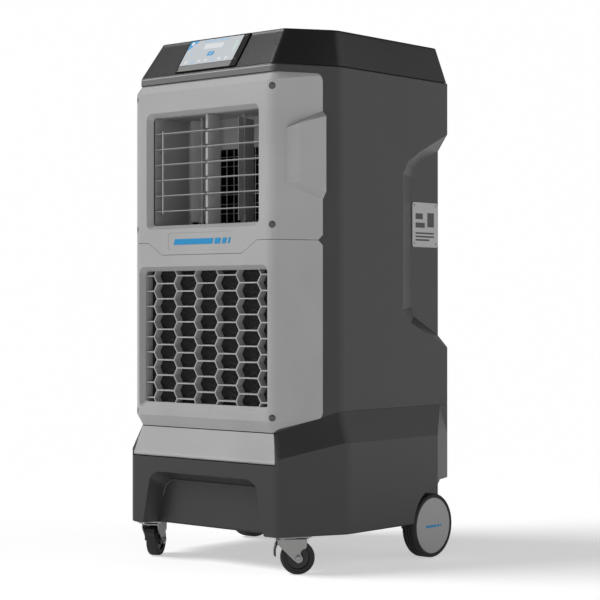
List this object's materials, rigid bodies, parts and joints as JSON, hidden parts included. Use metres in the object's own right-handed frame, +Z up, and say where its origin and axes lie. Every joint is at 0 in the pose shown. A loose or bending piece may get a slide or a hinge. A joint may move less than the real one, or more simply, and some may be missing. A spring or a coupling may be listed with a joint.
{
  "type": "evaporative cooler",
  "caption": "Portable evaporative cooler: tall cabinet on a wheeled water tank, louvered air outlet above a hexagonal intake grille, control panel on a sloped cap.",
  "frame": {"origin": "on the floor, under the middle of the machine's bounding box", "axes": "+Z up, -Y towards the air outlet and the front, +X to the machine's left as it faces you, which is the right-hand side seen from the front"},
  "size_m": [0.614, 0.552, 1.208],
  "materials": {
    "light_grey_plastic": "light grey, moulded, fine matt",
    "dark_grey_plastic": "dark grey, moulded, fine matt",
    "black_plastic": "black, moulded",
    "black_rubber": "black, matt",
    "zinc_steel": "bright zinc plated",
    "display_glass": "lit display behind a clear cover",
    "cooling_pad": "dark, wet corrugated media",
    "brass": "turned",
    "clear_hose": "cloudy clear",
    "circuit_board": "lacquered",
    "motor_steel": "grey paint",
    "aluminium_plate": "satin"
  },
  "bodies": {
    "cabinet": {"tank_base": "dark_grey_plastic", "main_housing": "dark_grey_plastic", "rear_panel": "dark_grey_plastic", "top_cap": "dark_grey_plastic", "upper_bezel": "light_grey_plastic", "lower_bezel": "light_grey_plastic", "honeycomb_grille": "light_grey_plastic", "louver_rib": "light_grey_plastic", "outlet_duct": "light_grey_plastic", "display_housing": "black_plastic", "blower_housing": "black_plastic", "pad_tray": "black_plastic", "water_header": "black_plastic", "water_pump": "black_plastic", "float_valve": "black_plastic", "drain_plug": "black_plastic", "cord_gland": "black_plastic", "bezel_screw_1": "black_plastic", "bezel_screw_2": "black_plastic", "bezel_screw_3": "black_plastic", "bezel_screw_4": "black_plastic", "bezel_screw_5": "black_plastic", "bezel_screw_6": "black_plastic", "fill_door_pin": "zinc_steel", "outlet_guard": "zinc_steel", "rear_axle": "zinc_steel", "caster_plate_left": "zinc_steel", "caster_plate_right": "zinc_steel", "display_glass": "display_glass", "cooling_pad": "cooling_pad", "hose_inlet": "brass", "pump_hose": "clear_hose", "control_board": "circuit_board", "blower_motor": "motor_steel", "rating_plate": "aluminium_plate"},
    "fill_door": {"fill_door": "light_grey_plastic"},
    "vane_left": {"vane_left": "light_grey_plastic"},
    "vane_right": {"vane_right": "light_grey_plastic"},
    "tie_bar": {"louver_tie_bar": "light_grey_plastic"},
    "blower_wheel": {"blower_wheel": "black_plastic"},
    "float_arm": {"float_arm": "black_plastic"},
    "rear_wheel_left": {"rear_wheel_left": "black_rubber", "hub_cap_left": "light_grey_plastic"},
    "rear_wheel_right": {"rear_wheel_right": "black_rubber", "hub_cap_right": "light_grey_plastic"},
    "blade_1": {"louver_blade_1": "light_grey_plastic"},
    "blade_2": {"louver_blade_2": "light_grey_plastic"},
    "blade_3": {"louver_blade_3": "light_grey_plastic"},
    "blade_4": {"louver_blade_4": "light_grey_plastic"},
    "blade_5": {"louver_blade_5": "light_grey_plastic"},
    "blade_6": {"louver_blade_6": "light_grey_plastic"},
    "caster_left": {"caster_fork_left": "zinc_steel", "caster_axle_left": "zinc_steel"},
    "caster_wheel_left": {"caster_wheel_left": "black_rubber"},
    "caster_brake_left": {"caster_brake_left": "black_plastic"},
    "caster_right": {"caster_fork_right": "zinc_steel", "caster_axle_right": "zinc_steel"},
    "caster_wheel_right": {"caster_wheel_right": "black_rubber"},
    "caster_brake_right": {"caster_brake_right": "black_plastic"}
  },
  "joints": [
    {"name": "fill_door_hinge", "type": "hinge", "parent": "cabinet", "child": "fill_door", "pos_m": [0, -0.2695, 0.2486], "axis": [1, 0, 0], "range_deg": [0, 85]},
    {"name": "blade_1_tilt", "type": "hinge", "parent": "cabinet", "child": "blade_1", "pos_m": [0, -0.248, 0.811], "axis": [1, 0, 0], "range_deg": [-40, 40]},
    {"name": "blade_2_tilt", "type": "hinge", "parent": "cabinet", "child": "blade_2", "pos_m": [0, -0.248, 0.847], "axis": [1, 0, 0], "range_deg": [-40, 40]},
    {"name": "blade_3_tilt", "type": "hinge", "parent": "cabinet", "child": "blade_3", "pos_m": [0, -0.248, 0.883], "axis": [1, 0, 0], "range_deg": [-40, 40]},
    {"name": "blade_4_tilt", "type": "hinge", "parent": "cabinet", "child": "blade_4", "pos_m": [0, -0.248, 0.919], "axis": [1, 0, 0], "range_deg": [-40, 40]},
    {"name": "blade_5_tilt", "type": "hinge", "parent": "cabinet", "child": "blade_5", "pos_m": [0, -0.248, 0.955], "axis": [1, 0, 0], "range_deg": [-40, 40]},
    {"name": "blade_6_tilt", "type": "hinge", "parent": "cabinet", "child": "blade_6", "pos_m": [0, -0.248, 0.991], "axis": [1, 0, 0], "range_deg": [-40, 40]},
    {"name": "tie_bar_pivot", "type": "hinge", "parent": "blade_1", "child": "tie_bar", "pos_m": [-0.139, -0.2545, 0.811], "axis": [1, 0, 0], "range_deg": [-40, 40]},
    {"name": "vane_left_swing", "type": "hinge", "parent": "cabinet", "child": "vane_left", "pos_m": [-0.066, -0.2045, 0.9], "axis": [0, 0, 1], "range_deg": [-24, 56]},
    {"name": "vane_right_swing", "type": "hinge", "parent": "cabinet", "child": "vane_right", "pos_m": [0.066, -0.2045, 0.9], "axis": [0, 0, 1], "range_deg": [-56, 24]},
    {"name": "blower_spin", "type": "hinge", "parent": "cabinet", "child": "blower_wheel", "pos_m": [0, 0.06, 0.795], "axis": [1, 0, 0], "continuous": true},
    {"name": "float_arm_lift", "type": "hinge", "parent": "cabinet", "child": "float_arm", "pos_m": [-0.13, 0.202, 0.16], "axis": [-1, 0, 0], "range_deg": [0, 25]},
    {"name": "rear_wheel_left_spin", "type": "hinge", "parent": "cabinet", "child": "rear_wheel_left", "pos_m": [-0.28, 0.2, 0.075], "axis": [1, 0, 0], "continuous": true},
    {"name": "caster_left_swivel", "type": "hinge", "parent": "cabinet", "child": "caster_left", "pos_m": [-0.21643, -0.21236, 0.08], "axis": [0, 0, 1], "continuous": true},
    {"name": "caster_wheel_left_spin", "type": "hinge", "parent": "caster_left", "child": "caster_wheel_left", "pos_m": [-0.223, -0.2, 0.0375], "axis": [0.8829, 0.4695, 0], "continuous": true},
    {"name": "caster_brake_left_press", "type": "hinge", "parent": "caster_left", "child": "caster_brake_left", "pos_m": [-0.20328, -0.23708, 0.068], "axis": [0.8829, 0.4695, 0], "range_deg": [0, 20]},
    {"name": "rear_wheel_right_spin", "type": "hinge", "parent": "cabinet", "child": "rear_wheel_right", "pos_m": [0.28, 0.2, 0.075], "axis": [1, 0, 0], "continuous": true},
    {"name": "caster_right_swivel", "type": "hinge", "parent": "cabinet", "child": "caster_right", "pos_m": [0.21363, -0.2104, 0.08], "axis": [0, 0, 1], "continuous": true},
    {"name": "caster_wheel_right_spin", "type": "hinge", "parent": "caster_right", "child": "caster_wheel_right", "pos_m": [0.223, -0.2, 0.0375], "axis": [0.7431, -0.6691, 0], "continuous": true},
    {"name": "caster_brake_right_press", "type": "hinge", "parent": "caster_right", "child": "caster_brake_right", "pos_m": [0.1949, -0.23121, 0.068], "axis": [0.7431, -0.6691, 0], "range_deg": [0, 20]}
  ],
  "couplings": [
    {"joint": "blade_2_tilt", "follows": "blade_1_tilt", "ratio": 1},
    {"joint": "blade_3_tilt", "follows": "blade_1_tilt", "ratio": 1},
    {"joint": "blade_4_tilt", "follows": "blade_1_tilt", "ratio": 1},
    {"joint": "blade_5_tilt", "follows": "blade_1_tilt", "ratio": 1},
    {"joint": "blade_6_tilt", "follows": "blade_1_tilt", "ratio": 1},
    {"joint": "tie_bar_pivot", "follows": "blade_1_tilt", "ratio": -1}
  ]
}
